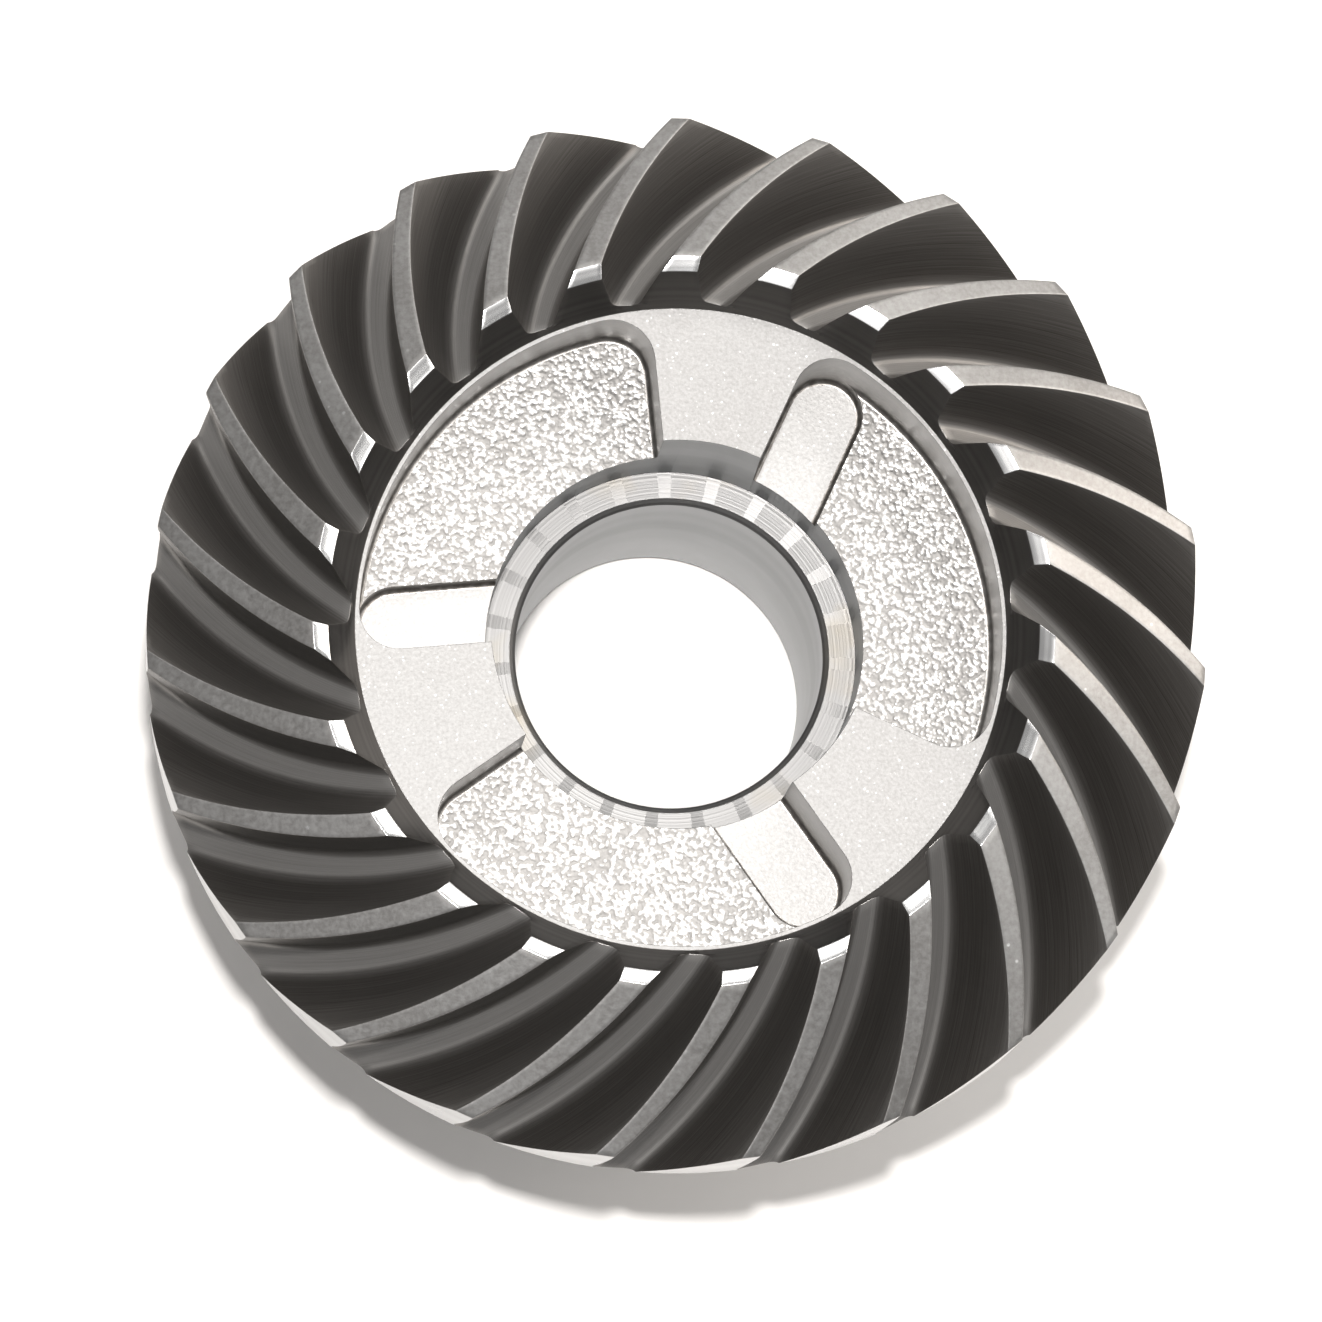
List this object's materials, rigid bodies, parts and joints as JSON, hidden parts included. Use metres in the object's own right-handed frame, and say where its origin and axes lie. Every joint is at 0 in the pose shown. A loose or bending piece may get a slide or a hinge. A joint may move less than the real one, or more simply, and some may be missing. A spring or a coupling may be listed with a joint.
{
  "type": "spiral bevel gear with clutch dogs",
  "caption": "Right-hand spiral bevel ring gear in one piece, with a three-dog jaw clutch face recessed inside the teeth, a counterbored through bore and a bearing journal behind.",
  "frame": {"origin": "on the bore axis at the end face of the hub, which the gear stands on", "axes": "+Z along the bore axis from the hub end towards the clutch face and the teeth; +X and +Y square to it, with the first driving face 65.4 degrees from +X towards +Y"},
  "size_m": [0.088, 0.088, 0.0395],
  "materials": {
    "steel": "case-hardened steel: ground and blasted silver-grey clutch face, dark face-milled tooth flanks, grey lands with fine grain"
  },
  "bodies": {
    "root": {"bevel_gear": "steel"}
  },
  "joints": []
}
